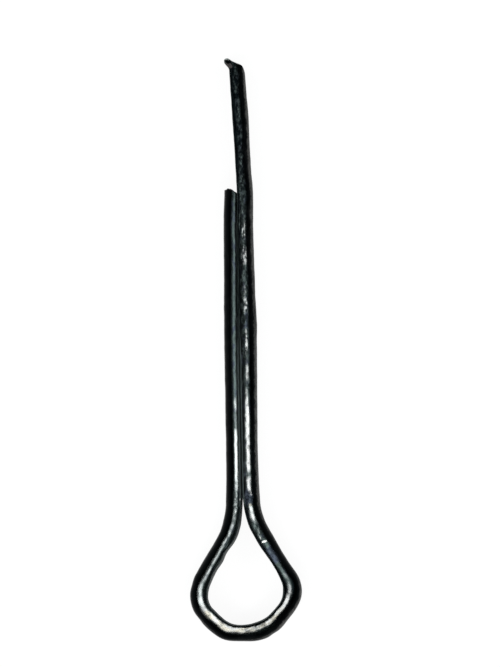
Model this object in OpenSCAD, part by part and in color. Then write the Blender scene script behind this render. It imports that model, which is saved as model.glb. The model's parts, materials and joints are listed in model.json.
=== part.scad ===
// Cotter pin with an extended prong: half-round wire folded into an eye and two legs.
// It lies flat. +Y runs along the closed shank towards the ends of the legs, +Z is up, and
// the origin is on the shank's axis, at mid-thickness, where the neck of the eye ends.

/* [Wire] */
// Radius of the round shank that the two half-round legs make together
wire_r = 1.8; // [1.7:0.05:1.9]
// Rounding of the two edges between the wire's flat and its round back
edge_r = 0.25; // [0.15:0.05:0.35]
// Gap left between the two flats along the closed shank
seam_gap = 0.1; // [0.06:0.02:0.16]

/* [Eye] */
// Straight run across the bottom of the eye, along the flat
base_run = 1.7; // [1.3:0.1:2.1]
// Radius of the flat round each lower corner
corner_r = 2.5; // [2.3:0.1:2.7]
// Turn of each lower corner in degrees
corner_turn = 47.5; // [45:0.5:50]
// Straight run of each lower side, along the flat
side_run = 1.5; // [1.2:0.1:1.8]
// Radius of the flat round each shoulder
shoulder_r = 2.4; // [2.2:0.1:2.6]
// Angle between each upper side and the shank in degrees
neck_turn = 30; // [28:1:32]
// Radius of the flat where each upper side bends into the shank
neck_r = 7.5; // [6:0.5:9]

/* [Short leg] */
// Length from the eye over which the two legs make a full round
round_len = 21; // [18:1:24]
// Lean of the short leg's back beyond that, which thins the leg, in degrees
thin_lean = 1.4; // [0.8:0.1:1.6]
// Length of the short leg from the eye, along the seam
short_len = 34.7; // [32:0.1:36]

/* [Long leg] */
// Distance from the eye to the bend that takes the prong across the short leg's end
bend_start = 33.2; // [30:0.1:34]
// Turn of that bend in degrees
prong_turn = 2.7; // [2:0.1:3]
// Radius of the flat in that bend
prong_r = 45; // [30:5:60]
// Straight run of the prong, from that bend to the hooked tip
prong_run = 13.3; // [10:0.1:16]
// Turn of the hooked tip in degrees
hook_turn = 22; // [16:1:26]
// Radius of the flat in the hook
hook_r = 1; // [0.6:0.1:1.4]
// Straight run of the tip beyond the hook, from its flat to the shear
tip_run = 1; // [0.7:0.05:1.2]

/* [Sheared ends] */
// Slant of both ends from square to the shank in degrees
shear_slant = 26; // [22:1:30]
// Width of the short leg's sheared face, from the seam to the corner that the shear drags over
short_face = 1.2; // [1:0.05:1.4]
// Angle between that face and its dragged corner in degrees
short_drag = 75; // [60:5:80]
// Width of the long leg's sheared face, from its flat to the corner that the shear drags over
long_face = 2.25; // [2:0.05:2.4]
// Angle between that face and its dragged corner in degrees
long_drag = 49; // [40:1:60]

/* [Hidden] */
$fn = 96;

// Everything is laid out at a thousandth of its size and enlarged once at the end, so that
// the rounding of positions never opens a hairline between one stretch of wire and the next
layout = 0.001;

// The wire's section: the disc that both legs share, cut back to one side of the seam
disc_r = wire_r * layout;
round_r = edge_r * layout;
half_gap = seam_gap / 2 * layout;
flat_half = sqrt(pow(disc_r - round_r, 2) - pow(round_r + half_gap, 2));
arc_half = atan2(flat_half, round_r + half_gap);

// A stretch of wire is [length, turn, radius]. A straight has no turn. A positive turn bends
// the wire towards its flat and a negative one towards its back, and the radius is the flat's.
function straight(length) = [length * layout, 0, 0];
function bend(turn, radius) = [0, turn, radius * layout];

// The upper sides are as long as it takes for the necks to meet at the seam
shoulder_turn = 90 + neck_turn - corner_turn;
reach_out = base_run / 2
    + corner_r * sin(corner_turn)
    + side_run * cos(corner_turn)
    + shoulder_r * (cos(neck_turn) - sin(corner_turn));
reach_back = neck_r * (1 - cos(neck_turn)) + seam_gap / 2;
upper_run = (reach_out - reach_back) / sin(neck_turn);
eye_depth = corner_r * (1 - cos(corner_turn))
    + side_run * sin(corner_turn)
    + shoulder_r * (cos(corner_turn) + sin(neck_turn))
    + upper_run * cos(neck_turn)
    + neck_r * sin(neck_turn);

half_eye_path = [
    straight(base_run / 2),
    bend(corner_turn, corner_r),
    straight(side_run),
    bend(shoulder_turn, shoulder_r),
    straight(upper_run),
    bend(-neck_turn, neck_r)
];

// The short leg's back leans in over a long bend, and its flat stays on the seam
thin_r = 60;
short_leg_path = [
    straight(round_len),
    bend(thin_lean, thin_r),
    straight(short_len - round_len)
];

// The tip is drawn longer than the shear leaves it
spare = 1.5;
long_leg_path = [
    straight(bend_start),
    bend(prong_turn, prong_r),
    straight(prong_run),
    bend(hook_turn, hook_r),
    straight(tip_run + spare)
];

// Where the shear meets the flat of the long leg's tip
function after_bend(at, heading, turn, radius) =
    at + radius * [cos(heading + turn) - cos(heading), sin(heading + turn) - sin(heading)];
bend_end = after_bend([seam_gap / 2, bend_start], 0, prong_turn, prong_r);
hook_start = bend_end + prong_run * [-sin(prong_turn), cos(prong_turn)];
hook_end = after_bend(hook_start, prong_turn, hook_turn, hook_r);
tip_lean = prong_turn + hook_turn;
tip = hook_end + tip_run * [-sin(tip_lean), cos(tip_lean)];

// The half-round: its flat lies on X = 0, its back faces +X, and both edges are rounded
module section() {
    far = 2 * disc_r;
    spoke = [far * cos(arc_half) - half_gap, far * sin(arc_half)];
    intersection() {
        translate([-half_gap, 0]) circle(r = disc_r);
        polygon([
            [0, flat_half], [round_r, flat_half], spoke, [far, far],
            [far, -far], [spoke[0], -spoke[1]], [round_r, -flat_half], [0, -flat_half]
        ]);
    }
    for (side = [-1, 1])
        translate([round_r, side * flat_half]) circle(r = round_r);
}

module straight_wire(length) {
    translate([0, length, 0]) rotate([90, 0, 0]) linear_extrude(length) section();
}

function bend_centre(turn, radius) = [turn > 0 ? -radius : radius, 0, 0];

module bent_wire(turn, radius) {
    translate(bend_centre(turn, radius))
        if (turn > 0)
            rotate_extrude(angle = turn) translate([radius, 0]) section();
        else
            rotate([0, 0, 180 + turn]) rotate_extrude(angle = -turn)
                translate([radius, 0]) mirror([1, 0]) section();
}

// The wire along a path, from the origin towards +Y, one stretch after another
module wire(path, i = 0) {
    if (i < len(path)) {
        length = path[i][0];
        turn = path[i][1];
        radius = path[i][2];
        if (turn == 0) {
            straight_wire(length);
            translate([0, length, 0]) wire(path, i + 1);
        } else {
            centre = bend_centre(turn, radius);
            bent_wire(turn, radius);
            translate(centre) rotate([0, 0, turn]) translate(-centre) wire(path, i + 1);
        }
    }
}

// What a cut takes away: all on the far side of a plane through the point at. A slant of 0 is
// square to the shank, with its far side towards +Y, and one of 90 has its far side towards +X.
module beyond(at, slant) {
    block = short_len * layout;
    translate([at[0], at[1], 0] * layout) rotate([0, 0, -slant])
        translate([-block / 2, 0, -block / 2]) cube(block);
}

// A point on a sheared face, some way across it from where the face starts
function across(start, width) = start + width * [cos(shear_slant), -sin(shear_slant)];

module half_eye() {
    translate([0, -eye_depth * layout, 0]) rotate([0, 0, -90]) wire(half_eye_path);
}

module long_leg() {
    difference() {
        translate([half_gap, 0, 0]) wire(long_leg_path);
        beyond(tip, shear_slant);
        beyond(across(tip, long_face), shear_slant + long_drag);
    }
}

module short_leg() {
    difference() {
        mirror([1, 0, 0]) translate([half_gap, 0, 0]) wire(short_leg_path);
        beyond([-seam_gap / 2, short_len], 90);
        beyond([0, short_len], shear_slant);
        beyond(across([0, short_len], -short_face), shear_slant - short_drag);
    }
}

module cotter_pin() {
    color([0.09, 0.10, 0.11]) scale(1 / layout) {
        half_eye();
        mirror([1, 0, 0]) half_eye();
        long_leg();
        short_leg();
    }
}

cotter_pin();
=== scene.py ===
# %% [markdown]
# # A cotter pin, bent from half-round wire
#
# A cotter pin is one length of half-round steel wire. It is folded with its flat side inwards, so
# that the two legs make a round shank, and the fold is left open as an eye. This one has a short
# leg and a long prong, and both ends are sheared.
#
# The CAD model comes first. It gives the frame that everything below is set in: the shank runs
# along +Y, and +Z is up.

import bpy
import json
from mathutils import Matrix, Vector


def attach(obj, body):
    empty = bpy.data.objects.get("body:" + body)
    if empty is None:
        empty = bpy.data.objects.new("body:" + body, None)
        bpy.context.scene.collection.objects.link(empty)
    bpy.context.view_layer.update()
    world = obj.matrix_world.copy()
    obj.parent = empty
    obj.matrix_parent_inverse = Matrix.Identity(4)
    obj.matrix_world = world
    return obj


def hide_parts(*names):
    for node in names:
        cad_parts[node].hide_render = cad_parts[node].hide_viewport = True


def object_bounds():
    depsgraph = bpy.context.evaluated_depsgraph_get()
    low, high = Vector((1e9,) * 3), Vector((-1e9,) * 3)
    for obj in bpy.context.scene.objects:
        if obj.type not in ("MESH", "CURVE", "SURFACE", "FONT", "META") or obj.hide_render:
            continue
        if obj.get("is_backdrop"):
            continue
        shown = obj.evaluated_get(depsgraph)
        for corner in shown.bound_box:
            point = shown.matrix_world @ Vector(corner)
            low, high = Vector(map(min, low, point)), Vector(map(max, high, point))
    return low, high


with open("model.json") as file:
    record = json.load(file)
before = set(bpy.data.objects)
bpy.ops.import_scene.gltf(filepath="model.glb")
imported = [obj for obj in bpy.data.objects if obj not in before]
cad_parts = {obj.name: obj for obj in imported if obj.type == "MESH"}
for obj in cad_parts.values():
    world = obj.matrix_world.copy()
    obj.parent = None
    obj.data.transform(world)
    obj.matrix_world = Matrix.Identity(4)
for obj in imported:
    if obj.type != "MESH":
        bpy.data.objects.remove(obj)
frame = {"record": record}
cad_box = [list(corner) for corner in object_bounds()]

import json

import bpy
import numpy as np
from mathutils import Matrix, Vector

MM = 0.001
shank = next(mount for mount in frame["record"]["mounts"] if mount["name"] == "shank")
SHANK_RADIUS = shank["dims"]["r_mm"]
print("CAD box in mm:", np.round(np.array(cad_box) / MM, 2).tolist())
print("radius of the round shank:", SHANK_RADIUS, "mm")

# %% [markdown]
# ## The line that the wire follows
#
# The whole shape is one profile carried along one line, so the line is worked out first. It could
# be a Bezier curve with a bevel, but a curve's handles say nothing about how wire is bent. Here
# the line is a list of stretches, each with a length and a turn, which is how a bender sees it.
# The turn is averaged over a short window, because a real bend eases in and out.

# %% Bend a line from stretches
def bent_line(stretches, ease=0.8, step=0.01):
    """A flat line from the origin along +X, through stretches of (length in mm, turn in degrees).

    The heading at a place is the turn made so far, averaged over a window of width ease in which
    the middle counts most. The place is the running sum of short steps in that heading, less half
    a step at both ends, so that the line starts at the origin. Returns distances and places.
    """
    lengths, turns = np.array(stretches, float).T
    ends = np.concatenate([[0], np.cumsum(lengths)])
    turned = np.radians(np.concatenate([[0], np.cumsum(turns)]))
    window = np.linspace(-0.5, 0.5, 33)
    weight = np.cos(np.pi * window) ** 2
    along = np.arange(0, ends[-1], step)
    heading = np.interp(along[:, None] + window * ease, ends, turned) @ (weight / weight.sum())
    moves = step * np.stack([np.cos(heading), np.sin(heading)], 1)
    places = np.cumsum(moves, 0) - moves / 2 - moves[0] / 2
    return along, places


def arc(radius, turn):
    """A bend as a stretch: its length is the radius times the turn."""
    return (radius * np.radians(abs(turn)), turn)


trial = bent_line([(5, 0), arc(5, 90), (5, 0)])[1]
print("5 mm, a square bend of radius 5 and 5 mm end at", trial[-1].round(2).tolist())

# %% [markdown]
# ## The two halves of the eye
#
# The eye of a real pin is bent round a former, and its halves are never quite alike: here the left
# lower corner is tighter than the right one. One half and its mirror image would be half the work,
# but would look drawn. So each half is bent from its own numbers. It starts at the bottom and runs
# up to the shank, and its upper side is made just long enough for the flat to come out beside the
# seam, which closes the teardrop.

# %% Bend each half from the bottom of the eye to its leg
# Y of the flat at the bottom of the eye, and the distance from the seam's middle to a leg's flat
EYE_BOTTOM = -13.58
HALF_SEAM = 0.05


def half_pin(base, corner, side, shoulder_radius, neck, leg):
    """The line of the flat, from the bottom of the eye to the end of a leg, turning left.

    corner and neck are (radius, turn). The shoulder turns by what is left to reach the upper
    side's lean. The upper side grows by the gap that is left at the shank over the sine of its
    lean. leg is a function that takes the height of the neck's end and gives its stretches.
    """
    def line(upper, leg_stretches):
        """The half with an upper side of this length."""
        shoulder_turn = 90 + neck[1] - corner[1]
        return bent_line([(base, 0), arc(*corner), (side, 0), arc(shoulder_radius, shoulder_turn),
                          (upper, 0), arc(neck[0], -neck[1]), *leg_stretches])

    upper, stub = 5.0, 1
    gap = line(upper, [(stub, 0)])[1][-1, 0] - HALF_SEAM
    upper += gap / np.sin(np.radians(neck[1]))
    neck_end = EYE_BOTTOM + line(upper, [(stub, 0)])[1][-1, 1] - stub
    along, places = line(upper, leg(neck_end))
    return along, places + [0, EYE_BOTTOM], upper, neck_end


def long_leg(neck_end):
    """Straight up to Y 33.5, then the slight bend that takes the prong across the short leg's
    end, and then the prong, drawn longer than the shear leaves it."""
    return [(33.5 - neck_end, 0), (2.1, 2.9), (18, 0)]


def short_leg(neck_end):
    """Straight up to Y 38, past the shear."""
    return [(38 - neck_end, 0)]


long_half = half_pin(base=0.5, corner=(2.82, 46), side=1.76, shoulder_radius=2.28,
                     neck=(6.53, 29.9), leg=long_leg)
short_half = half_pin(base=1.09, corner=(2.04, 48.0), side=1.54, shoulder_radius=2.36,
                      neck=(8.38, 30.2), leg=short_leg)
print("upper sides:", round(long_half[2], 2), "and", round(short_half[2], 2), "mm")
print("necks end at Y =", round(long_half[3], 2), "and", round(short_half[3], 2), "mm")

# %% [markdown]
# ## One line for the whole wire
#
# The wire is one piece. Two swept halves would need a joint at the bottom of the eye, so the lines
# are joined before anything is swept, from the short leg's end round the eye to the prong's tip. A
# station is a distance along the wire in mm: 0 at the bottom of the eye, and less than 0 on the
# short leg's half. The closed legs of a real pin are not dead straight either, and a bow of a
# tenth of a millimetre is enough to show it.

# %% Join the halves and bow the legs
line_at = np.concatenate([-short_half[0][:0:-1], long_half[0]])
line_xy = np.concatenate([short_half[1][:0:-1] * [-1, 1], long_half[1]])

# Y along the closed legs, and how far they bow there towards the long leg's side
LEG_BOW = [(0, 0), (3, 0), (10, 0.02), (20, 0.06), (26, 0.05), (34, 0.06), (40, 0.08),
           (46, 0.09), (50, 0.10)]
line_xy[:, 0] += np.interp(line_xy[:, 1], *np.transpose(LEG_BOW))

# The tangent is the line's slope. Turned right by 90 degrees, it points out through the back.
tangent = np.gradient(line_xy, line_at, axis=0)
tangent /= np.linalg.norm(tangent, axis=1, keepdims=True)
outward = np.stack([tangent[:, 1], -tangent[:, 0]], 1)
print("wire:", round(line_at[-1] - line_at[0], 1), "mm long before the shears")

# %% [markdown]
# ## The half-round section
#
# Drawn half-round wire has a flat, a round back, and a small rounding where they meet. A disc cut
# in two by a boolean would have that outline too, but uneven points and no rounding. So the
# section is traced from its own arcs. It lies in two directions: n points out of the flat through
# the back, and z is up. Each point also knows which way it faces, and dents will need that.

# %% Trace the section
WIRE_THICKNESS = SHANK_RADIUS - HALF_SEAM
EDGE_RADIUS = 0.2
# How many points trace the back, and how many each edge and the flat, with their ends counted
BACK_POINTS, EDGE_POINTS, FLAT_POINTS = 45, 7, 8


def half_round():
    """The section as a closed loop of (n, z) points and the direction that each one faces.

    The back is an arc of a disc whose centre lies HALF_SEAM inside the flat. An edge is a small
    circle that touches both the flat and that arc from within. Points are evenly spaced in angle
    on the back and the edges, and in height on the flat. Directions are angles from the n axis.
    """
    edge_z = np.sqrt((SHANK_RADIUS - EDGE_RADIUS) ** 2 - (EDGE_RADIUS + HALF_SEAM) ** 2)
    meet = np.arctan2(edge_z, EDGE_RADIUS + HALF_SEAM)
    back = np.linspace(-meet, meet, BACK_POINTS)
    edge = np.linspace(meet, np.pi, EDGE_POINTS)[1:]
    flat = np.linspace(edge_z, -edge_z, FLAT_POINTS)[1:-1]
    edge_n = EDGE_RADIUS + EDGE_RADIUS * np.cos(edge)
    n = np.concatenate([SHANK_RADIUS * np.cos(back) - HALF_SEAM, edge_n, 0 * flat, edge_n[::-1]])
    z = np.concatenate([SHANK_RADIUS * np.sin(back), edge_z + EDGE_RADIUS * np.sin(edge),
                        flat, -edge_z - EDGE_RADIUS * np.sin(edge)[::-1]])
    facing = np.concatenate([back, edge, np.full(flat.shape, np.pi), -edge[::-1]])
    return n, z, facing


section_n, section_z, facing = half_round()
around = len(section_n)
print("section:", around, "points,", round(section_n.max(), 2), "mm thick")

# %% [markdown]
# ## How the wire varies along its length
#
# A swept tube of constant section looks like a drawing. Real wire gets thicker and thinner where
# it is bent, its flat leans where the bend twists it, and the short leg thins towards its end.
# A modifier could taper the tube, but only in one simple way. So each of these is a track: a few
# values at stations along the wire, joined by smooth steps.

# %% Join a few values smoothly
def smooth_track(at, track):
    """The value of a track at a place. A track is a list of (station, value).

    The slope at a station comes from the values of its two neighbours. A cubic between two
    stations is then fixed by its two values and its two slopes, so the track has no kinks.
    """
    stations, values = np.array(track, float).T
    slopes = np.gradient(values, stations)
    i = np.clip(np.searchsorted(stations, at) - 1, 0, len(stations) - 2)
    gap = stations[i + 1] - stations[i]
    t = np.clip((at - stations[i]) / gap, 0, 1)
    return ((1 + 2 * t) * (1 - t) ** 2 * values[i] + t ** 2 * (3 - 2 * t) * values[i + 1]
            + gap * t * (1 - t) * ((1 - t) * slopes[i] - t * slopes[i + 1]))


# The share of the drawn thickness
THICKNESS = [
    (-52.5, 0.78), (-49, 0.87), (-43, 0.92), (-38, 0.98), (-28, 0.99), (-20, 1.01),
    (-14.5, 1.09), (-12.3, 1.02), (-9.5, 1.07), (-6, 1.09), (-3, 1.10), (-0.8, 1.07),
    (1.3, 1.11), (3, 1.13), (4.8, 1.07), (6.1, 1.16), (8, 1.06), (12.5, 1.05), (16, 1.12),
    (18.5, 1.05), (22, 1.00), (30, 1.03), (38, 1.06), (43, 1.00), (48, 0.96), (52, 1.00),
    (55.7, 0.97), (60.5, 1.04), (64, 1.00), (67, 1.00),
]
# How far the flat is pushed in where the wire was held as it was bent, in mm. Below 0 it stands
# out.
FLAT_DIPS = [
    (-18.7, 0), (-16.2, 0.09), (-12.7, -0.07), (-11.2, 0.10), (-10.2, 0.02), (-9.2, 0.11),
    (-6.4, -0.10), (-4.5, 0.02), (-2.2, -0.10), (-0.4, 0.09), (1.4, -0.10), (3.3, 0.06),
    (6.2, -0.10), (8.8, 0.12), (12.7, -0.03), (15.8, 0.14), (18.7, 0),
]
# Degrees by which the flat leans to face upwards. Along the closed legs the short leg's flat leans
# up and the long leg's leans down by as much, so the seam is a slanted slit.
FLAT_LEAN = [
    (-53, 3.5), (-20, 3.5), (-17, 3.8), (-13, 4.2), (-8, 4.2), (-6, 2), (-3, 0.5), (0, 0),
    (4, 0), (9, 0), (14, -1), (17.5, -3.5), (20, -3.5), (48, -3.5), (56, -1), (68, 0),
]
shares = smooth_track(line_at, THICKNESS)
print("thickness:", round(shares.min(), 2), "to", round(shares.max(), 2), "of the drawn size")

# %% [markdown]
# ## Dents
#
# Light runs along a round wire in thin lines, and they show every small fault: a line frays where
# the surface tilts by a degree or two. A bump in the shader could tilt the light too, but the
# outline would stay perfect. So every fault that is wider than a few tenths of a millimetre is a
# move of the surface itself. First come the dents. The ones that can be told apart are listed, and
# seeded ones are scattered where the wire was handled most.

# %% Where the tools bit
# Station, angle round the section from the middle of the back, length, width and depth. The last
# five are flats on the outside of the eye.
TOOL_MARKS = [
    (17.7, 72, 0.7, 0.6, 0.05), (17.2, 55, 0.4, 0.5, 0.03), (18.2, 60, 0.3, 0.5, 0.03),
    (-17.3, 68, 0.5, 0.5, 0.02), (30.5, 80, 0.6, 0.5, 0.03), (33.4, 84, 0.7, 0.5, 0.03),
    (11.2, 62, 0.4, 0.4, 0.02), (13.0, 62, 0.3, 0.3, 0.02), (14.2, 60, 0.3, 0.3, 0.02),
    (0.9, 74, 0.3, 0.3, 0.03), (-0.6, 76, 0.3, 0.3, 0.03), (-1.7, 78, 0.3, 0.3, 0.03),
    (6.9, 66, 0.4, 0.4, 0.02), (-5.2, 60, 0.5, 0.5, 0.008), (-2.9, 50, 0.5, 0.5, 0.02),
    (2.2, 76, 0.35, 0.25, 0.02), (3.4, 54, 0.5, 0.4, 0.02), (21.6, 76, 0.12, 0.3, 0.02),
    (20.3, 74, 0.14, 0.35, 0.03), (23.0, 55, 0.3, 0.3, 0.02), (-1.2, 52, 0.5, 0.4, 0.02),
    (-6.8, 2, 0.45, 1.2, 0.035), (-4.5, 2, 0.4, 1.2, 0.03), (-2.5, 2, 0.4, 1.2, 0.03),
    (-1.1, 2, 0.4, 1.2, 0.01), (2.1, 2, 0.3, 1.2, 0.035),
]
# A jaw bites both sides of the wire, so each mark comes again on the lower side, a little further
# on. On the outside of the eye both bites land on one place, and make one flat twice as deep.
LOWER_MARKS = [(at + 0.1, 4 - angle, *size) for at, angle, *size in TOOL_MARKS]

chance = np.random.default_rng(11)


def scattered_marks(count, start, end, size, steep, angles=(25, 88), draw=chance):
    """Seeded dents between two stations and two angles, on both the upper and the lower side of
    the back. A dent's depth is its size times steep, times a factor from -0.6 to 1. So some of
    them stand out."""
    mark_size = np.exp(draw.uniform(*np.log(size), count))
    return np.stack([
        draw.uniform(start, end, count),
        draw.choice([-1, 1], count) * draw.uniform(*angles, count),
        mark_size * draw.uniform(0.8, 1.8, count), mark_size,
        mark_size * steep * draw.uniform(-0.6, 1, count),
    ], 1)


# The last row is on the outer side, and has draws of its own
marks = np.concatenate([
    TOOL_MARKS,
    LOWER_MARKS,
    scattered_marks(70, -1.8, 3.4, (0.18, 0.45), 0.08),
    scattered_marks(40, -5, 6, (0.25, 0.6), 0.04),
    scattered_marks(40, 16.6, 18.6, (0.14, 0.35), 0.14),
    scattered_marks(24, -18.4, -16.6, (0.14, 0.3), 0.08),
    scattered_marks(240, 29, 49, (0.14, 0.4), 0.09),
    scattered_marks(460, 48, 67, (0.18, 0.5), 0.14),
    scattered_marks(300, -52, 30, (0.16, 0.5), 0.04),
    scattered_marks(44, 24, 50, (0.3, 0.7), 0.08, (0, 26), np.random.default_rng(5)),
])
print("dents:", len(marks), "and the deepest is", round(marks[:, 4].max(), 3), "mm")

# %% Add up the dents
def dents(at, turn):
    """Depth of all the dents at a place: each is a bell curve along the wire and round it.

    A bell curve is spent at three times its length, so only the rings that near are worked on.
    The 2 mm more is for the last rings, which slant by that much to meet the sheared faces.
    """
    depth = np.zeros(np.broadcast_shapes(at.shape, turn.shape))
    for where, angle, length, width, deep in marks:
        near = np.abs(at[:, 0] - where) < 3 * length + 2
        along = (at[near] - where) / length
        across = SHANK_RADIUS * (turn[near] - np.radians(angle)) / width
        depth[near] += deep * np.exp(-along ** 2 - across ** 2)
    return depth


where, angle = marks[0, :2]
deep = dents(np.array([[where]]), np.array([[np.radians(angle)]])).item()
print("depth in the middle of the first dent:", round(deep, 3), "mm")

# %% [markdown]
# ## The sheared ends
#
# A shear leaves a slanted face. It drags one corner over, and it can leave a lip on the other. A
# boolean cut would give a clean plane with sharp corners and long thin faces round it. So each end
# is a function instead: how far along the wire the face lies, for a point of the section. The
# rings near an end slide to meet that face, and the grid stays whole.

# %% Where each end is cut
def torn(n, z, seed, ripples=14, height=0.06):
    """Small relief of a sheared face, in mm: a sum of cosines across it. Each runs in its own
    direction at its own pitch, and is as high as height over its pitch."""
    draw = np.random.default_rng(seed)
    relief = 0
    for _ in range(ripples):
        way = draw.uniform(0, np.pi)
        pitch = draw.uniform(5, 16)
        start = draw.uniform(0, 6.3)
        relief = relief + np.cos(pitch * (n * np.cos(way) + z * np.sin(way)) + start) / pitch
    return height * relief


# The prong is cut where its line reaches this Y, and the short leg at a station of its own
TIP_Y = 49.9
PRONG_END = line_at[np.argmax(line_xy[:, 1] > TIP_Y)]
SHORT_END = -51.95
# From the flat (n = 0) to the back: how far the face lies back from the end of the leg. The
# prong's face slants down from a blunt lip at the flat, and the shear has dragged its outer corner
# round. The short leg's is a plain slant, longest at the back.
PRONG_FACE = [
    (-0.1, 0.20), (0.05, 0.10), (0.15, 0.06), (0.26, 0.10), (0.4, 0.26), (0.52, 0.42),
    (0.65, 0.54), (0.9, 0.68), (1.19, 0.81), (1.34, 0.91), (1.45, 0.99), (1.52, 1.08),
    (1.6, 1.25), (1.68, 1.5), (1.78, 2.0),
]
SHORT_FACE = [(-0.1, -0.03), (0.1, 0.0), (0.6, 0.22), (1.15, 0.50), (1.4, 0.50), (1.5, 0.40)]


def long_cut(n, z):
    """The station at which the prong is cut: its end, plus relief, less the face's setback."""
    return PRONG_END + torn(n, z, 3) - smooth_track(n, PRONG_FACE)


def short_cut(n, z):
    """The station at which the short leg is cut. It is below 0, so a track that grows towards the
    back makes the leg longer there."""
    return SHORT_END + torn(n, z, 5) - smooth_track(n, SHORT_FACE)


print("prong ends at station", round(PRONG_END, 2), "and the short leg at", SHORT_END)

# %% How the shear draws the tip over
# Distance from the end of the prong, and how far the tip is drawn over to the flat's side
TIP_DRAWN = [
    (0, 0.38), (0.25, 0.48), (0.4, 0.50), (0.5, 0.49), (0.6, 0.43), (0.7, 0.37),
    (0.8, 0.29), (0.95, 0.17), (1.15, 0.06), (1.4, 0.01), (1.7, 0),
]


def lip_drag(at, n):
    """How far the tip is drawn over, in mm: it rises towards the end and falls back a little in
    the lip, and it fades with the distance from the flat, to nothing at n = 0.9."""
    return smooth_track(PRONG_END - at, TIP_DRAWN) * np.clip(1 - n / 0.9, 0, 1) ** 1.4


print("drawn over at the flat:", round(float(lip_drag(PRONG_END - 0.4, 0)), 2), "mm")

# %% [markdown]
# ## The grid
#
# The surface is a grid of rings along the wire by points round it. Triangles from a modelling tool
# would do as well for a render, but on a grid every vertex knows its station and its place in the
# section, and the dents and the finish need both. The body's rings come first. At each end a
# quarter circle of rings rounds the rim, and more rings shrink to the middle of the face.

# %% Rings from the short leg's face to the prong's
BODY_RINGS, RIM_RINGS, FACE_RINGS = 1380, 6, 12
RIM_RADIUS = 0.10
# n of the middle of the section, where a face closes
MIDDLE_N = 0.78
# The section is narrower than the whole disc, so a rim takes a larger share of it
RIM_SHARE = 1.3


def end_rings():
    """Setback and shrink for the rim and the face of an end: a quarter circle of RIM_RADIUS
    turns from the side into the face, and the face shrinks evenly to the section's middle."""
    turn = np.linspace(0, np.pi / 2, RIM_RINGS + 1)[1:]
    setback = RIM_RADIUS * (1 - np.sin(turn))
    shrink = 1 - RIM_RADIUS * (1 - np.cos(turn)) / SHANK_RADIUS * RIM_SHARE
    face = np.linspace(1, 0, FACE_RINGS + 2)[1:-1] * shrink[-1]
    return np.concatenate([setback, 0 * face]), np.concatenate([shrink, face])


def shrunk(shrink):
    """The section drawn in towards its middle, ring by ring: (n, z)."""
    shrink = shrink[:, None]
    return MIDDLE_N + shrink * (section_n - MIDDLE_N), shrink * section_z


def wire_grid():
    """Station, place in the section and shrink of every vertex, ring by ring from the short leg's
    face to the prong's. Body rings are spaced evenly between the two cuts."""
    setback, shrink = end_rings()
    n0, z0 = shrunk(np.ones(BODY_RINGS))
    low, high = short_cut(n0, z0) + RIM_RADIUS, long_cut(n0, z0) - RIM_RADIUS
    body = low + (high - low) * np.linspace(0, 1, BODY_RINGS)[:, None]
    n1, z1 = shrunk(shrink)
    start = (short_cut(n1, z1) + setback[:, None])[::-1]
    end = long_cut(n1, z1) - setback[:, None]
    return (np.concatenate([start, body, end]), np.concatenate([n1[::-1], n0, n1]),
            np.concatenate([z1[::-1], z0, z1]),
            np.concatenate([shrink[::-1], np.ones(BODY_RINGS), shrink])[:, None])


station, grid_n, grid_z, grid_shrink = wire_grid()
print("grid:", len(station), "rings of", around, "points")

# %% [markdown]
# ## Waves
#
# Between its dents, drawn wire is never quite smooth: it carries long shallow waves from the die
# and from the bending. They could be one noise texture on a Displace modifier. A sum of cosines is
# used instead, because each wave's height can follow from its length, so that long and short waves
# tilt the surface by the same small angle, and the light wanders on all of them alike.

# %% Waves and dents on the grid
def waves(along, round_by, count, lengths, slope, most_lobes=5):
    """Height of a surface as a sum of cosines of 2 pi along / length + lobes * round_by + phase.

    A wave's height is its slope over its steepness, so short waves are low and long ones high.
    The sum is multiplied by the root of 2 over the count, so that slope is the root mean square
    of the surface's tilt, however many waves there are.
    """
    length = np.exp(chance.uniform(*np.log(lengths), count))
    lobes = chance.integers(-most_lobes, most_lobes + 1, count)
    phase = chance.uniform(0, 2 * np.pi, count)
    steep = np.hypot(2 * np.pi / length, lobes / SHANK_RADIUS)
    height = 0
    for k in range(count):
        height = height + np.cos(2 * np.pi * along / length[k] + lobes[k] * round_by
                                 + phase[k]) / steep[k]
    return slope * height * np.sqrt(2 / count)


turn = np.broadcast_to(facing, station.shape)
relief = waves(station, turn, 26, (0.7, 2.2), 0.016) + waves(station, turn, 18, (2.5, 9), 0.012)
relief = (relief - dents(station, turn)) * grid_shrink ** 3
print("surface stands between", round(relief.min(), 3), "and", round(relief.max(), 3), "mm")

# %% [markdown]
# ## From the grid to the bent wire
#
# Up to here every vertex is a station and a place in the section. Now each goes to its place in
# space, as if straight wire were bent by hand: first its relief, then its thickness, its dips and
# its lean, and then the line's bend. A Curve modifier could do the last step, but not the others.
# The whole wire is one array, so this is one formula and not a loop over vertices.

# %% Set the grid along the line
# On the short leg, paring takes over from stretching between these distances from the eye's bottom
PARED = (32, 38)


def between(value, low, high):
    """0 below low, 1 above high, and a smooth rise between them."""
    share = np.clip((value - low) / (high - low), 0, 1)
    return share * share * (3 - 2 * share)


def along_line(values, at):
    """A track of values along the line, read at any stations."""
    return np.interp(at, line_at, values)


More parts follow.
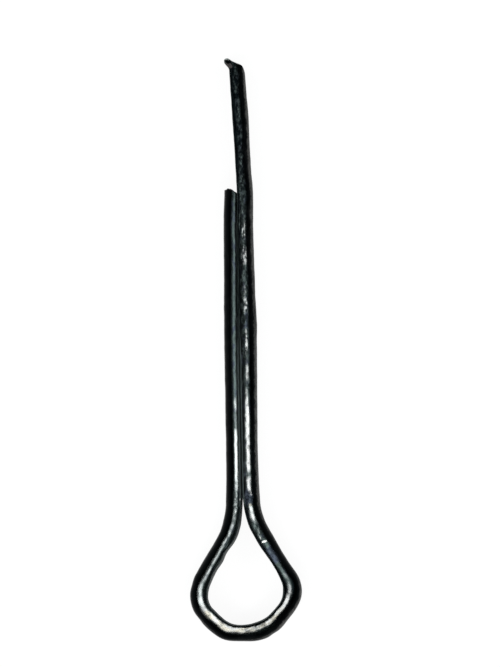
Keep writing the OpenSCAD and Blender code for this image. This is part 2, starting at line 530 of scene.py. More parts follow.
def set_in_place(at, n, z, height):
    """A vertex is the line's place, plus n along the outward direction, plus z upwards.

    Before that, its height above the plain surface is added along the way it faces, the section
    is stretched by the thickness and turned by the flat's lean, and the flat's dips and the
    lip's drag are added. The dips fade out towards the back. The short leg's end is pared
    instead of stretched: its back moves in as it is, and its flat stays.
    """
    n, z = n + height * np.cos(facing), z + height * np.sin(facing)
    share = smooth_track(at, THICKNESS)
    pared = between(-at, *PARED)
    # The back's move comes in over the first few tenths of a millimetre from the flat
    back_moves = (1 - share) * WIRE_THICKNESS * (1 - np.exp(-np.maximum(n, 0) / 0.35))
    n = n + n * (share - 1) * (1 - pared) - back_moves * pared
    dip_fade = np.clip(1 - n / WIRE_THICKNESS, 0, 1) ** 1.5
    n = n + smooth_track(at, FLAT_DIPS) * dip_fade - lip_drag(at, n)
    lean = np.radians(smooth_track(at, FLAT_LEAN))
    n, z = n * np.cos(lean) + z * np.sin(lean), z * np.cos(lean) - n * np.sin(lean)
    x = along_line(line_xy[:, 0], at) + n * along_line(outward[:, 0], at)
    y = along_line(line_xy[:, 1], at) + n * along_line(outward[:, 1], at)
    return np.stack([x, y, z], -1)


wire_xyz = set_in_place(station, grid_n, grid_z, relief)
print("wire from", wire_xyz.min((0, 1)).round(2).tolist(),
      "to", wire_xyz.max((0, 1)).round(2).tolist(), "mm")

# %% [markdown]
# ## Make the mesh
#
# Neighbouring rings are joined by four-sided faces. Blender's own tool for bridging two loops could
# do it pair by pair, but on a grid all the faces follow from counting. The last ring at each end
# closes with a fan of triangles to one point, a pole, so the wire is a closed solid. Seen from the
# short leg's end, the points run round the section against the clock. So a face whose corners go
# along the wire first and round it second points outwards, and the volume comes out above 0.

# %% Join the rings and close the ends
def faces_of(rings, points):
    """Faces of a grid of rings that wraps round, with a fan to one pole at each end."""
    i = np.arange(rings - 1)[:, None] * points
    j = np.arange(points)[None, :]
    k = (j + 1) % points
    quads = np.stack([i + j, i + points + j, i + points + k, i + k], -1).reshape(-1, 4)
    first_pole, last_pole = rings * points, rings * points + 1
    j, k = j[0], k[0]
    last = (rings - 1) * points
    start = np.stack([np.full(points, first_pole), j, k], 1)
    end = np.stack([np.full(points, last_pole), last + k, last + j], 1)
    return quads, np.concatenate([start, end])


def with_poles(grid):
    """A grid's values as a list of vertices, then the mean of each end ring for its pole."""
    listed = grid.reshape(-1, *grid.shape[2:])
    return np.concatenate([listed, [listed[:around].mean(0), listed[-around:].mean(0)]])


def make_piece(name, vertices, quads, triangles):
    """A smooth-shaded mesh piece from arrays in mm."""
    mesh = bpy.data.meshes.new(name)
    mesh.from_pydata(vertices * MM, [], quads.tolist() + triangles.tolist())
    mesh.polygons.foreach_set("use_smooth", np.ones(len(mesh.polygons), bool))
    mesh.update()
    piece = bpy.data.objects.new(name, mesh)
    bpy.context.scene.collection.objects.link(piece)
    return piece


quads, triangles = faces_of(len(station), around)
pin = make_piece("bent_wire", with_poles(wire_xyz), quads, triangles)
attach(pin, "root")
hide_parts("cotter_pin")

# The volume is a sixth of the sum of each triangle's a . (b x c)
corners = np.concatenate([quads[:, :3], quads[:, [0, 2, 3]], triangles])
a, b, c = [with_poles(wire_xyz)[corners[:, k]] for k in range(3)]
print("triangles:", len(corners), "and volume:", round((a * np.cross(b, c)).sum() / 6), "mm3")

# %% [markdown]
# ## Where the black is rubbed off, and the painted highlights
#
# The wire is blackened, and the black is rubbed through to grey steel along the crown of each leg,
# where a hand or a hole touches it. The places are laid along the lines where the lamps' highlights
# fall, and how far the black is gone sets how bright each stretch is, so they are partly painted
# highlights. A noise texture alone would rub it anywhere, and a painted image would tie the finish
# to a picture. So the places are worked out here, as numbers from 0 to 1 on the vertices, and the
# material reads them as attributes and makes their edges ragged.

# %% Rubbed places along the crown, which also paint the highlights
# Start and end along the wire, how far the black is gone, which also sets the painted highlight's
# strength, and then the place's angle round the section from the middle of the back, and its half
# width in mm
RUBBED_AND_HIGHLIGHT_PLACES = [
    (-2.5, 0.1, 0.90, 69.5, 0.38), (-4.3, -2.4, 1.0, 70, 0.29), (-5.1, -3.9, 1.0, 64, 0.37),
    (-6.1, -4.9, 1.0, 66.5, 0.31), (-7.2, -6.0, 0.84, 62.5, 0.28), (-8.2, -7.1, 0.6, 65.5, 0.32),
    (-9.2, -8.1, 0.84, 66.5, 0.29), (-12.0, -9.1, 0.6, 66, 0.26), (-12.9, -11.9, 0.8, 62.5, 0.22),
    (-14.0, -12.9, 0.72, 65, 0.19), (-15.0, -13.9, 0.70, 67.5, 0.20),
    (-18.8, -14.9, 0.42, 69, 0.26), (-19.7, -18.7, 0.76, 71.5, 0.23),
    (-25.5, -19.6, 1.0, 72, 0.22), (-27.6, -25.4, 0.32, 72, 0.20), (-29.1, -27.7, 0.66, 72, 0.20),
    (-34, -29, 0.12, 69, 0.35), (-45.6, -42.4, 0.15, 68, 0.3),
    (0.0, 1.0, 0.80, 73, 0.36), (1.0, 2.0, 0.74, 73, 0.21), (1.9, 3.0, 1.0, 73, 0.24),
    (2.9, 6.0, 0.88, 73.5, 0.24), (5.9, 7.0, 0.68, 68.5, 0.20), (7.0, 9.2, 0.20, 65, 0.25),
    (7.4, 8.1, 0.62, 66, 0.15), (12.5, 14.5, 0.24, 66, 0.38), (14.3, 15.4, 0.45, 62, 0.38),
    (15.0, 16.1, 1.0, 66, 0.29), (15.9, 17.0, 1.0, 62.5, 0.24), (19.0, 20.1, 1.0, 63.5, 0.30),
    (20.0, 20.8, 0.32, 63, 0.15), (20.8, 24.6, 0.90, 63, 0.24), (24.2, 28.2, 1.0, 65, 0.26),
    (28.0, 29.3, 0.94, 66, 0.19), (29.2, 30.1, 0.66, 67, 0.17), (30.9, 33.0, 0.62, 63, 0.16),
    (34.0, 36.6, 0.68, 64.5, 0.15), (38.7, 40.1, 0.75, 65, 0.24), (40.5, 41.6, 0.35, 65, 0.24),
    (44.1, 45.7, 0.75, 63, 0.32), (47.0, 48.7, 0.50, 64, 0.28), (49.3, 51.0, 0.12, 64, 0.22),
]


def rubbed_and_highlit(at, turn):
    """How far the black is gone, and so how strong the painted highlight is: the most of all the
    places. A place has soft ends along the wire, and fades round the wire as a bell curve of the
    sixth power of the distance."""
    most = 0
    for start, end, gone, angle, half_width in RUBBED_AND_HIGHLIGHT_PLACES:
        ends = 1 / ((1 + np.exp((start - at) * 5)) * (1 + np.exp((at - end) * 5)))
        off = SHANK_RADIUS * (turn - np.radians(angle)) / half_width
        most = np.maximum(most, gone * ends * np.exp(-off ** 6))
    return most


share = (rubbed_and_highlit(line_at, np.radians(66)) > 0.5).mean()
print("rubbed places:", len(RUBBED_AND_HIGHLIGHT_PLACES), "over", round(100 * share), "% of the crown's length")

# %% Ragged edges, and how far the black is gone, with its painted highlight
def span(value, low, full, fading, gone):
    """1 from full to fading and 0 beyond low and gone, with a smooth step on either side."""
    return between(value, low, full) * (1 - between(value, fading, gone))


# Waves that make the edges of a finish ragged, and 1 on the body but 0 on the sheared faces
ragged = waves(station, turn, 40, (0.4, 2.2), 1.0, most_lobes=9)
body = between(grid_shrink, 0.97, 1) * np.ones(station.shape)

# The long leg's first place above the neck starts on a slant, later towards the flat
slant = 2.6 * (grid_n - 0.55) * span(station, 17.6, 18.2, 19.3, 19.9)
# How far the black is gone, which also sets where the painted highlights fall and how bright
# The waves are mostly under 0.35 high, so they move an edge by less than 0.1 mm
finish = {"polish_and_highlight": rubbed_and_highlit(station + slant + 0.22 * ragged, np.abs(turn) + 0.018 * ragged) * body}
print("rubbed share of the surface:", round(float((finish["polish_and_highlight"] > 0.5).mean()), 3))

# %% [markdown]
# ## A sheen beside the rubbed steel
#
# Before the black goes, it wears thin and shines a little. On the pin that shows as a band of dark
# grey along the crown of each leg, wider and brighter in some stretches than in others. The band
# follows the lamps' lines, so it is partly a painted sheen. It could be one mask of constant
# width. Three tracks do better: where the band starts, where it ends, and how strong it is.

# %% The band along the crown
# How strong the sheen is
SHEEN = [
    (-53, 0.38), (-50, 0.58), (-45, 0.60), (-36, 0.71), (-30, 0.78), (-26, 0.6), (-18, 0.5),
    (-16, 0.4), (-12, 0.36), (-7, 0.5), (0, 0.5), (6, 0.25), (7.5, 0.6), (8.4, 0.8), (9, 0.6),
    (10, 1.6), (11, 1.1), (12, 0.75), (13, 0.55), (14.5, 0.6), (16, 0.5), (17.5, 0.4),
    (19, 0.5), (30, 0.5), (36, 0.5), (48, 0.32), (51, 0.32), (54, 0.30), (58, 0.26), (67, 0.2),
]
# Angles from the middle of the back at which the band starts, on its outer side, and ends. Its
# soft edges are 14 and 11 degrees wide.
SHEEN_STARTS = [
    (-53, 54), (-45, 56), (-36, 52), (-20, 53), (-7, 52), (0, 46), (4, 45), (6, 56), (7.5, 52),
    (9, 47), (12, 47), (16, 43), (28, 45), (30, 48), (35, 50), (38, 51), (41, 47), (45, 45),
    (51, 48), (56, 50), (67, 50),
]
SHEEN_ENDS = [(-53, 79), (4, 79), (7, 73), (9, 75), (12, 79), (30, 79), (50, 79), (54, 70),
              (67, 70)]

turn_deg = np.degrees(np.abs(turn))
starts, ends = smooth_track(station, SHEEN_STARTS), smooth_track(station, SHEEN_ENDS)
band = span(turn_deg, starts, starts + 14, ends, ends + 11)
# The crown's band of worn black, which is partly a painted sheen
finish["crown"] = band * body * smooth_track(station, SHEEN)
print("mean width of the band:", round(float((ends - starts).mean())), "degrees")

# %% [markdown]
# ## Where the finish changes
#
# The black isn't alike all over. It is bluer where the wire was bent hard, mottled where a tool
# beat it, broken into patches on the prong, matt on the flat, and a matt grey along its outer
# sides.
# Beside the seam, where two flats face each other, the matt flat reaches round the edge. One mask
# could hold all of these as steps of grey, but then no two could overlap. So each has its own.

# %% Blued, beaten, matt, dull and grey-sided places
finish["blued"] = span(station, 9.0, 9.8, 11.0, 11.8) + span(station, 16.8, 17.3, 18.3, 18.9)
finish["beaten"] = np.max([
    span(station, -6, -4, 5, 7),
    span(station, 16.4, 17, 18.2, 19),
    span(-station, 16.4, 17, 17.6, 18.4) * 0.6,
    between(station, 30, 34) * 0.7,
    between(station, 48, 53),
], 0)
# Joined by straight lines, because a smooth track would dip below 0 beside a sudden rise
MATT = [(-19, 0), (-18, 0.4), (-16, 0.4), (-15, 0), (8.5, 0), (9.5, 0.5), (14, 0.5), (15.5, 0),
        (32, 0), (36, 0.65), (50, 0.65), (55, 1)]
finish["matt"] = np.interp(station, *np.transpose(MATT))
in_seam = span(np.abs(station), 16.2, 17.5, 32, 40)
finish["dull"] = np.maximum(between(turn_deg, 110, 150), between(turn_deg, 88, 103) * in_seam)
# How grey and matt the outer side of the wire is
OUTER_SIDE_GREY = [
    (-53, 0), (-7, 0), (-5.5, 0), (-4, 0.6), (-1.5, 0.4), (1.5, 0.7), (5, 1), (7, 0.55),
    (14, 0.6), (18, 0.8), (30, 0.8), (40, 0.8), (52, 0.9), (67, 0.9),
]
finish["side_bloom"] = ((1 - between(turn_deg + 5 * ragged, 24, 48))
                        * smooth_track(station, OUTER_SIDE_GREY))
print("masks so far:", ", ".join(finish))

# %% [markdown]
# ## The fresh cuts
#
# A shear tears steel, so both cut faces are bare. The tip has a lip, where the metal was drawn
# over the edge, and the lip is given a painted highlight on top. Behind it lies a smear where the
# blade dragged along. The end faces could have a material of their own, but it would stop at the
# rim in a clean line. So these are masks too. The shrink of the grid tells a face from the wire's
# side, and the distance from the prong's end finds the lip.

# %% Masks of the cuts, kept on the mesh
from_tip = PRONG_END - station
finish["smeared"] = span(from_tip, 0.45, 0.8, 1.05, 1.45) * (1 - between(grid_n, 0.3, 0.6))
finish["freshly_cut"] = 1 - between(grid_shrink, 0.945, 0.998) * np.ones(station.shape)
# Where the lip's painted highlight goes: near the prong's end, by the flat, on the rim
finish["lip"] = ((1 - between(from_tip, 0.14, 0.32)) * (1 - between(grid_n, 0.2, 0.5))
                 * between(grid_shrink, 0.86, 0.93))


def keep_on_vertices(piece, name, values):
    """Store one number, or three, for each vertex as an attribute that materials can read."""
    kind, field = ("FLOAT_VECTOR", "vector") if values.ndim == 2 else ("FLOAT", "value")
    attribute = piece.data.attributes.new(name, kind, "POINT")
    attribute.data.foreach_set(field, values.astype(np.float32).ravel())


for name, values in finish.items():
    keep_on_vertices(pin, name, with_poles(values))
keep_on_vertices(pin, "wire_place", with_poles(np.stack([station, grid_n, grid_z], -1)))
print("attributes:", len(finish), "masks and the place along the wire")

# %% [markdown]
# ## Shader maths as Python
#
# A material is a graph of small nodes, and a sum of two noises is three of them. Drawing such a
# graph by hand hides the formula. So a socket is wrapped in a small class whose operators add the
# Math nodes, and the material below reads as the formula that it is.

# %% A socket that Python can do sums with
class Shade:
    """A socket of a material. +, -, * and / on it add Math nodes, and node() adds any other."""

    def __init__(self, tree, socket=None):
        self.tree, self.socket = tree, socket

    def node(self, kind, settings=(), sockets=(), output=0):
        """Add a node: its settings first, then the values or links of its sockets."""
        made = self.tree.nodes.new(kind)
        for name, value in dict(settings).items():
            setattr(made, name, value)
        for name, value in dict(sockets).items():
            if isinstance(value, Shade):
                self.tree.links.new(value.socket, made.inputs[name])
            else:
                made.inputs[name].default_value = value
        return Shade(self.tree, made.outputs[output])

    def maths(self, operation, a, b=0.0):
        """One Math node."""
        return self.node("ShaderNodeMath", {"operation": operation}, {0: a, 1: b})

    def __add__(self, other):
        return self.maths("ADD", self, other)

    def __sub__(self, other):
        return self.maths("SUBTRACT", self, other)

    def __rsub__(self, other):
        return self.maths("SUBTRACT", other, self)

    def __mul__(self, other):
        return self.maths("MULTIPLY", self, other)

    def __truediv__(self, other):
        return self.maths("DIVIDE", self, other)

    __radd__, __rmul__ = __add__, __mul__

    def rise(self, low, high):
        """0 where the value is below low, 1 above high, and a smooth step between. With low above
        high it falls in the same way."""
        return self.node("ShaderNodeMapRange", {"interpolation_type": "SMOOTHSTEP"},
                         {"Value": self, "From Min": low, "From Max": high})

    def blend(self, below, above):
        """A colour that goes from one to the other as this value goes from 0 to 1."""
        return self.node("ShaderNodeMix", {"data_type": "RGBA"}, {0: self, 6: below, 7: above}, 2)

    def attribute(self, name, output="Fac"):
        """What a piece's vertices keep under a name."""
        return self.node("ShaderNodeAttribute", {"attribute_name": name}, (), output)

    def part(self, k):
        """One of the three numbers of a vector."""
        return self.node("ShaderNodeSeparateXYZ", (), {0: self}, k)

    def stretched(self, *scale):
        """A vector with each of its three directions scaled."""
        return self.node("ShaderNodeVectorMath", {"operation": "MULTIPLY"}, {0: self, 1: scale})

    def noise(self, scale, detail=2.0, roughness=0.5):
        """Noise from 0 to 1 over a place, with a cell about 1 / scale wide."""
        return self.node("ShaderNodeTexNoise", (), {
            "Vector": self, "Scale": scale, "Detail": detail, "Roughness": roughness})


def new_material(name):
    """A material, its Principled shader, and a Shade to start sums from."""
    material = bpy.data.materials.new(name)
    material.use_nodes = True
    return material, material.node_tree.nodes["Principled BSDF"], Shade(material.node_tree)


steel, steel_shader, shade = new_material("blackened_steel")
print("a new material has", len(steel.node_tree.nodes), "nodes")

# %% [markdown]
# ## Blackened steel, rubbed and sheared
#
# Black oxide is a thin dark skin, so the steel under it still reflects, only far less. Where it is
# rubbed through, the same surface reflects several times as much, and those places lie where the
# lamps' lines fall, so they partly paint the highlights. It could be black paint mixed over a
# metal, but paint adds a white gloss that this skin doesn't have. So this is one metal whose colour
# goes from near black to grey. All noise reads the place along the wire and in its section, so
# that streaks follow the wire round the eye.

# %% Patterns along the wire
place = shade.attribute("wire_place", "Vector")
along, from_flat, up = [place.part(k) for k in range(3)]

# Drawn streaks are long and thin, so the place is squeezed along the wire before the noise
streaks = place.stretched(0.12, 1, 1).noise(9, 3, 0.6)
fine_streaks = place.stretched(0.06, 1, 1).noise(26, 2)
# Mottling, from the finest to the widest. All but the grain is longer along the wire than across.
speckle = place.stretched(0.7, 1, 1).noise(7, 2, 0.6).rise(0.34, 0.68)
grain = place.noise(5, 1.5, 0.5)
patches = place.stretched(0.55, 1, 1).noise(3.2, 1.5)
blotches = place.stretched(0.5, 1, 1).noise(2.2, 3)
# On a sheared face the blade drags its lines from the flat to the back
drag = (place.stretched(1, 0.12, 1).noise(13, 3, 0.6) * 0.7
        + place.stretched(1, 0.5, 1).noise(4, 2) * 0.4)

mask = {name: shade.attribute(name) for name in finish}
print("patterns and masks:", len(steel.node_tree.nodes), "nodes so far")

# %% [markdown]
# ## Nicks
#
# One nick shines across the long leg's side of the eye, where something hard has cut through the
# black. There are three faint ones: one beside it and two on the short leg's side. Each is so
# small that a texture would have to be painted for it. An ellipse needs only a few lines of shader
# maths.

# %% Bright nicks
def nick(at, n, angle, half_length, half_width):
    """1 inside a small ellipse on the upper side, turned by angle from the wire's direction.

    The distances from its centre along its length and across it are divided by half its length
    and half its width. The value falls from 1 to 0 as the sum of their squares goes from 0.5 to
    1.5, so the edge is soft.
    """
    cos, sin = np.cos(np.radians(angle)), np.sin(np.radians(angle))
    lengthwise = ((along - at) * cos + (from_flat - n) * sin) / half_length
    crosswise = ((from_flat - n) * cos - (along - at) * sin) / half_width
    inside = 1.5 - (lengthwise * lengthwise + crosswise * crosswise)
    return inside.rise(0, 1) * up.rise(0, 0.1)


nicks = (nick(12.19, 0.66, 107, 0.26, 0.115)
         + nick(12.78, 0.50, 8, 0.20, 0.05) * 0.35
         + nick(-16.25, 0.50, 30, 0.10, 0.07) * 0.25
         + nick(-17.7, 0.10, 0, 0.12, 0.06) * 0.35)
print("with the nicks:", len(steel.node_tree.nodes), "nodes")

# %% [markdown]
# ## From black to bare steel
#
# The skin is black on the side of the wire, lighter and sometimes bluish along the crown, where its
# band is partly a painted sheen, and lighter grey underneath: scuffed where the pin has lain and
# slid, and partly a painted reflection of the white floor. Steel shows through it where it is
# rubbed, and there it also paints the highlights. A clean edge between black and steel would look
# printed, so noise is added to the mask before it is turned into black or steel: more noise where
# a tool beat the wire.

# %% Skin and bare steel
BLACK_SIDE = (0.0011, 0.0018, 0.0022, 1)
# Lighter underneath: scuffing, and a painted reflection of the white floor
SCUFF_AND_FLOOR_REFLECTION = (0.034, 0.037, 0.037, 1)
# Worn black of the crown's band, partly a painted sheen
BLACK_CROWN = (0.043, 0.055, 0.053, 1)
BLUE_CROWN = (0.030, 0.036, 0.048, 1)
# Bare steel, which also carries the painted highlights
GREY_STEEL_AND_HIGHLIGHT = (0.222, 0.228, 0.226, 1)
CREAM_STEEL_AND_HIGHLIGHT = (0.235, 0.228, 0.195, 1)

beaten, matt, polish_and_highlight = mask["beaten"], mask["matt"], mask["polish_and_highlight"]
uneven = ((grain - 0.5) * (beaten * 0.6 + 0.15) + (streaks - 0.5) * (beaten * 0.6 + 0.4)
          + (speckle - 0.5) * 0.06)
# On matt stretches the crown is broken into patches, and elsewhere it is whole
broken = 1 - matt + matt * patches.rise(0.38, 0.62) * 1.6
# Where the black is gone, which also paints the highlights brighter
bare_and_highlight = (polish_and_highlight * broken + polish_and_highlight.rise(0.0, 0.15) * uneven).rise(0.1, 1.0)
# The crown's band, partly a painted sheen along the lamps' lines
crown = (mask["crown"] * (speckle * (beaten * 0.9 + 0.35) + 0.72 - beaten * 0.55)
         * broken)
blue = (blotches + mask["blued"] * 0.25).rise(0.5, 0.65)
# The underside is lighter: scuffing, and a painted reflection of the white floor below
scuff_and_reflection = up.rise(0.5, 0.0) * (blotches * 0.6 + streaks * 0.7)

skin = crown.blend(scuff_and_reflection.blend(BLACK_SIDE, SCUFF_AND_FLOOR_REFLECTION), blue.blend(BLACK_CROWN, BLUE_CROWN))
# The colour of bare steel, and of the painted highlights on it
steel_and_highlight = (beaten * blotches).rise(0.4, 0.6).blend(GREY_STEEL_AND_HIGHLIGHT, CREAM_STEEL_AND_HIGHLIGHT)
colour = bare_and_highlight.blend(skin, steel_and_highlight)
print("with skin and steel:", len(steel.node_tree.nodes), "nodes")

# %% [markdown]
# ## Grey outer sides and the matt flat
#
# The outer sides are given a matt grey, which doesn't shine, most of it on the long leg's half. The
# flat comes from the die matt and streaked, and it was never polished by handling. Both go over the
# skin in turn, each by its own mask, as coats of paint would.

# %% Grey sides and the drawn flat
OUTER_GREY = (0.044, 0.044, 0.041, 1)
DARK_FLAT, LIGHT_FLAT = (0.008, 0.014, 0.014, 1), (0.026, 0.036, 0.035, 1)

side_bloom = (mask["side_bloom"] * (grain * 0.9 + blotches * 0.7)).rise(0.35, 0.9)
stray_grey = (blotches * 0.6 + grain * 0.4).rise(0.5, 0.75) * (1 - mask["crown"])
bloom = side_bloom * 0.8 + stray_grey * 0.06
colour = bloom.blend(colour, OUTER_GREY)

dull = (mask["dull"] * (grain * 0.6 + 0.7)).rise(0.35, 0.85)
drawn = (streaks * 0.6 + fine_streaks * 0.3 + blotches * 0.3).rise(0.45, 0.8)
colour = dull.blend(colour, drawn.blend(DARK_FLAT, LIGHT_FLAT))
print("with bloom and flat:", len(steel.node_tree.nodes), "nodes")

# %% [markdown]
# ## Torn steel, the lip's painted highlight and the nicks
#
# The sheared faces are torn, so they are lighter and rougher than the skin, with lines where the
# blade dragged. Their colour is carried a little over the rim, because a fresh cut has a ragged
# border. The lip gets a painted highlight, light on top and dark below. The nicks come last, on
# top.

# %% Colours of the cuts
TORN_DARK, TORN_STEEL = (0.035, 0.034, 0.032, 1), (0.125, 0.123, 0.118, 1)
# The lip's painted highlight, a matt light grey
LIP_PAINTED_HIGHLIGHT = (0.26, 0.28, 0.27, 1)
SMEARED_STEEL = (0.034, 0.029, 0.029, 1)
FRESH_STEEL = (0.72, 0.72, 0.70, 1)

cut = (mask["freshly_cut"] + (grain - 0.5) * 0.5).rise(0.3, 0.7)
# A painted highlight: light grey on the lip's upper side, fading to dark below
lip = ((mask["lip"] + (speckle - 0.4) * 0.6) * up.rise(-0.8, 1.1)
       * mask["lip"].rise(0, 0.2)).rise(0.1, 0.75)
smeared = (mask["smeared"] * (speckle * 0.7 + 0.6)).rise(0.3, 0.8)

colour = cut.blend(colour, drag.rise(0.4, 0.72).blend(TORN_DARK, TORN_STEEL))
colour = lip.blend(colour, LIP_PAINTED_HIGHLIGHT)
colour = smeared.blend(colour, SMEARED_STEEL)
colour = nicks.blend(colour, FRESH_STEEL)
print("with the cuts:", len(steel.node_tree.nodes), "nodes")

# %% [markdown]
# ## Gloss and the finest relief
#
# The black skin and the rubbed steel, which also carries the painted highlights, are polished, and
# everything else on the pin is rougher: each mask adds its share. What is grey on the outer sides,
# matt or smeared, and the lip's painted highlight, also scatter light, so they are less of a metal.
# Relief as fine as this would need millions of faces, so it goes into a bump: streaks a few
# thousandths of a millimetre high, more of it on the flat, and most on a torn face.

# %% Feed the shader
SKIN_ROUGHNESS = 0.18
# Black oxide holds back the bright rim that bare metal has at a glancing angle
RIM_TINT = (0.62, 0.62, 0.62, 1)


def feed(shader, **sockets):
    """Link or set the named sockets of a shader. An underscore stands for a space."""
    for name, value in sockets.items():
        socket = shader.inputs[name.replace("_", " ")]
        if isinstance(value, Shade):
            value.tree.links.new(value.socket, socket)
        else:
            socket.default_value = value


fine_relief = (streaks * 0.0032 + fine_streaks * 0.0012 + grain * (beaten * 0.006 + 0.003)
               + dull * grain * 0.02 + cut * drag * 0.03) * (1 - nicks)
# The relief is in mm, so the bump's distance is one millimetre
bumps = shade.node("ShaderNodeBump", (), {"Distance": MM, "Strength": 1.0,
                                          "Height": fine_relief}, "Normal")
metal = 1 - dull * 0.85 - bloom * 0.9 - smeared * 0.5 - lip * 0.8
roughness = (SKIN_ROUGHNESS + blotches * 0.05 + dull * (0.55 - drawn * 0.2) + cut * 0.25
             + bloom * 0.3 + nicks * 0.3 + smeared * 0.3 + matt * 0.08 + beaten * 0.05
             + lip * 0.3)
feed(steel_shader, Base_Color=colour, Metallic=metal, Roughness=roughness, Normal=bumps,
     Specular_Tint=RIM_TINT)
pin.data.materials.append(steel)
print("blackened steel:", len(steel.node_tree.nodes), "nodes in all")

# %% [markdown]
# ## A white table
#
# The pin lies on a white sheet. A lamp strong enough to turn the sheet white would bleach the pin
# too. So to the camera, and in the metal's reflections, most of the floor's white is given off by
# the floor itself. The rest is lit, and keeps the soft shadow under the wire.

# %% The floor
FLOOR_REACH = 3.0  # metres from the middle to each side
FLOOR_PAINT = (0.95, 0.95, 0.95, 1)
SELF_LIT = 0.92  # the share of the floor's white that it gives off
WHITE = (1, 1, 1, 1)


def seen(start):
    """1 for a ray from the camera, or from a glossy or clear surface, and 0 for any other: the
    sum of what Light Path says of the three kinds, but at most 1."""
    kinds = ("Is Camera Ray", "Is Glossy Ray", "Is Transmission Ray")
    answers = [start.node("ShaderNodeLightPath", (), (), kind) for kind in kinds]
    return start.maths("MINIMUM", sum(answers), 1.0)


floor_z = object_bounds()[0][2]
floor_mesh = bpy.data.meshes.new("floor")
corners = [(-FLOOR_REACH, -FLOOR_REACH, floor_z), (FLOOR_REACH, -FLOOR_REACH, floor_z),
           (FLOOR_REACH, FLOOR_REACH, floor_z), (-FLOOR_REACH, FLOOR_REACH, floor_z)]
floor_mesh.from_pydata(corners, [], [(0, 1, 2, 3)])
floor = bpy.data.objects.new("floor", floor_mesh)
bpy.context.scene.collection.objects.link(floor)
floor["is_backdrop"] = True

paint, floor_shader, floor_shade = new_material("floor_paint")
feed(floor_shader, Base_Color=FLOOR_PAINT, Roughness=1.0, Specular_IOR_Level=0.0)
lit = Shade(paint.node_tree, floor_shader.outputs[0])
glow = floor_shade.node("ShaderNodeEmission", (), {"Color": WHITE, "Strength": 1.0})
surface = floor_shade.node("ShaderNodeMixShader", (),
                           {0: seen(floor_shade) * SELF_LIT, 1: lit, 2: glow})
paint.node_tree.links.new(surface.socket, paint.node_tree.nodes["Material Output"].inputs[0])
floor_mesh.materials.append(paint)
print("floor at Z =", round(floor_z / MM, 2), "mm")

# %% [markdown]
# ## Soft light from all round
#
# A polished round wire shows each lamp as a thin line along it, wherever its surface tilts halfway
# towards that lamp. One lamp would light one side of the eye only, and an even sky would show no
# lines at all. So thirteen soft boxes stand in a ring, tilted so that the line falls about a third
# of the way from the flat to the back.

# %% Lamps
CENTRE = Vector((0, 17, 0)) * MM
LAMP_DISTANCE = 0.9  # metres
# Watts for each square metre of lamp at a glow of 1
GLOW_WATTS = 4
PLAIN, COOL = (1, 1, 1), (0.95, 1, 1)
# Name, azimuth, tilt, the angles that it spans along and across, glow and tint
LAMPS = [
    ("lamp_east", 0, 49, 12, 21, 5.0, PLAIN),
    ("lamp_east_low", -18, 35, 24, 20, 3.9, PLAIN),
    ("lamp_south_east", -44, 33, 29, 22, 3.2, PLAIN),
    ("lamp_south", -74, 32, 34, 24, 3.1, PLAIN),
    ("lamp_south_low", -106, 38, 34, 34, 3.0, PLAIN),
    ("lamp_south_west", -131, 38, 20, 28, 4.0, PLAIN),
    ("lamp_west_south", -148, 45, 14, 30, 3.8, PLAIN),
    ("lamp_west_low", -165.5, 50, 20, 30, 3.8, COOL),
    ("lamp_west", 180, 44.5, 9, 15, 5.4, COOL),
    ("lamp_west_high", 169, 50, 13, 24, 3.3, COOL),
    ("lamp_north_west", 148, 47, 30, 17, 3.9, COOL),
    ("lamp_north_east", 32, 43, 26, 28, 3.4, COOL),
    ("lamp_east_high", 12.5, 46, 13, 24, 4.0, COOL),
]


def softbox(name, azimuth, tilt, along, across, glow, tint):
    """A rectangular lamp that faces the pin. azimuth is in degrees round from +X, and tilt from
    straight up. Its sides are twice the distance times the tangent of half the angle spanned. The
    side along the ring is that times the sine of the tilt. Its power grows with its area."""
    a, t = np.radians(azimuth), np.radians(tilt)
    way = Vector((np.sin(t) * np.cos(a), np.sin(t) * np.sin(a), np.cos(t)))
    lamp = bpy.data.lights.new(name, "AREA")
    lamp.shape = "RECTANGLE"
    lamp.size = 2 * LAMP_DISTANCE * np.sin(t) * np.tan(np.radians(along / 2))
    lamp.size_y = 2 * LAMP_DISTANCE * np.tan(np.radians(across / 2))
    lamp.energy = GLOW_WATTS * glow * lamp.size * lamp.size_y
    lamp.color = tint
    side = Vector((-np.sin(a), np.cos(a), 0))
    turned = Matrix((side, way.cross(side), way)).transposed().to_4x4()
    holder = bpy.data.objects.new(name, lamp)
    holder.matrix_world = Matrix.Translation(CENTRE + LAMP_DISTANCE * way) @ turned
    bpy.context.scene.collection.objects.link(holder)
    return lamp.energy


power = sum(softbox(*row) for row in LAMPS)
print("lamps:", len(LAMPS), "with", round(power, 1), "watts in all")

# %% [markdown]
# ## The sky
#
# A dim even sky fills in between the lamps. It could be a large dome with a material, but a world
# is that dome already. Past the edge of the floor a level camera would look into the dim sky. So
# close to the horizon, and below it, the sky is white to the camera and in reflections, as the
# floor is.

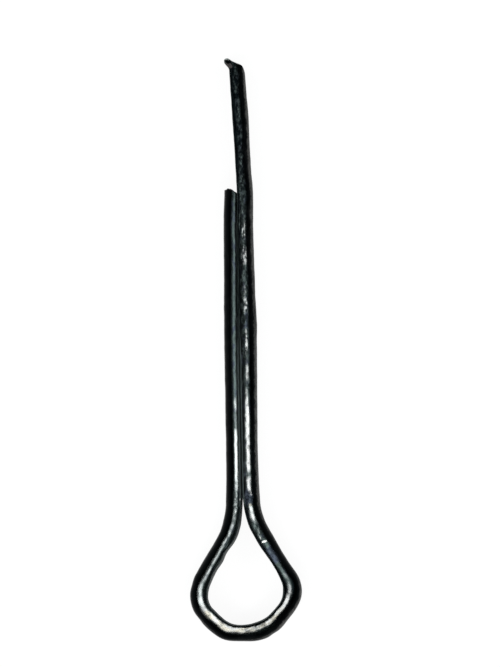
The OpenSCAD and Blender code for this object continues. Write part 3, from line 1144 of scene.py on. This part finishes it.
# %% World
DIM_SKY = (0.09, 0.1, 0.1, 1)
world = bpy.data.worlds.new("studio")
bpy.context.scene.world = world
world.use_nodes = True
sky = Shade(world.node_tree)
ray_up = sky.node("ShaderNodeTexCoord").part(2)
horizon = seen(sky) * (1 - ray_up.rise(0.08, 0.12))
feed(world.node_tree.nodes["Background"], Color=horizon.blend(DIM_SKY, WHITE), Strength=1.0)
print("sky:", len(world.node_tree.nodes), "nodes")

# %% [markdown]
# ## The camera
#
# It looks straight down from a metre, and is turned by about a degree. A short lens close by would
# show the wire's sides more and more towards the edges of the picture. An orthographic camera
# would show no perspective at all, but no real lens does that. A long lens far away comes close.

# %% Camera
PICTURE_ROWS = 667
MM_PER_ROW = 0.112
CAMERA_X, CAMERA_Y, CAMERA_Z = 1.18, 18.995, 1000
CAMERA_ROLL = np.radians(-1.164)
SENSOR = 36

scene = bpy.context.scene
camera_data = bpy.data.cameras.new("camera")
camera = bpy.data.objects.new("camera", camera_data)
scene.collection.objects.link(camera)
scene.camera = camera
# A lens is to the sensor as the camera's distance is to the height of what it sees
camera_data.sensor_width = SENSOR
camera_data.lens = SENSOR * CAMERA_Z / (PICTURE_ROWS * MM_PER_ROW)
# In metres
camera_data.clip_start = 0.01
camera_data.clip_end = 20
above = Matrix.Translation(Vector((CAMERA_X, CAMERA_Y, CAMERA_Z)) * MM)
camera.matrix_world = above @ Matrix.Rotation(CAMERA_ROLL, 4, "Z")
scene.view_settings.view_transform = "Standard"
view_height = round(PICTURE_ROWS * MM_PER_ROW, 1)
print("lens:", round(camera_data.lens), "mm, for a view", view_height, "mm high")

# %% [markdown]
# ## Check the size
#
# The dressed pin has to stay the size that the CAD model gives it, so both boxes are printed.

# %% Sizes and the end
bpy.context.view_layer.update()
made_box = [list(corner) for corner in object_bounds()]
past = np.abs(np.array(made_box) - np.array(cad_box)).max() / MM
print("made box in mm:", np.round(np.array(made_box) / MM, 2).tolist())
print("no side is further than", round(past, 2), "mm from the CAD box")
